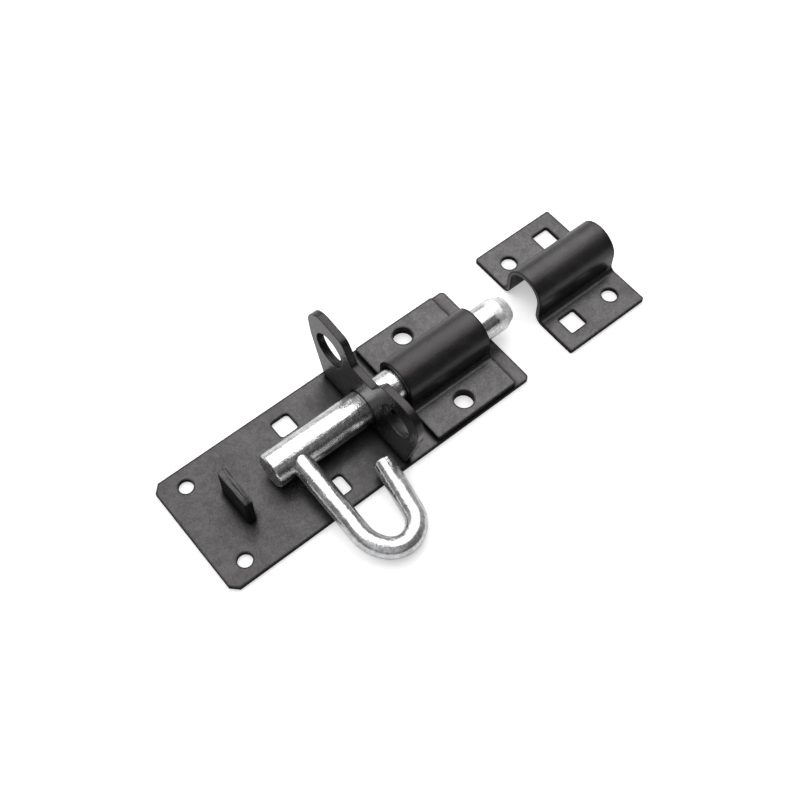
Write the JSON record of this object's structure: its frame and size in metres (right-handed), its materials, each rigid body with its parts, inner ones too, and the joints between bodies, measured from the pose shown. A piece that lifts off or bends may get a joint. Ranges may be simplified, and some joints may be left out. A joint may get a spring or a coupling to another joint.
{
  "type": "padbolt",
  "caption": "Padbolt on a black backplate: a bright round rod with a hoop handle slides through an eared bracket and a humped guide towards a separate humped keep",
  "frame": {"origin": "centre of the underside of the backplate", "axes": "+X along the rod towards its nose and the keep, +Z out of the mounting surface, +Y away from the side the hoop lies on"},
  "size_m": [0.215, 0.0929, 0.0444],
  "materials": {
    "black_coat": "satin black coating",
    "bright_zinc": "bright zinc plating"
  },
  "bodies": {
    "mounted": {"backplate": "black_coat", "stop_lug": "black_coat", "ear_bracket": "black_coat", "bolt_guide": "black_coat", "keep": "black_coat"},
    "rod": {"bolt_rod": "bright_zinc"},
    "hoop": {"hoop": "bright_zinc"}
  },
  "joints": [
    {"name": "rod_slide", "type": "slide", "parent": "mounted", "child": "rod", "axis": [1, 0, 0], "range_m": [-0.0135, 0.004]},
    {"name": "hoop_turn", "type": "hinge", "parent": "rod", "child": "hoop", "pos_m": [-0.025, 0, 0.0115], "axis": [-1, 0, 0], "range_deg": [0, 194]}
  ]
}
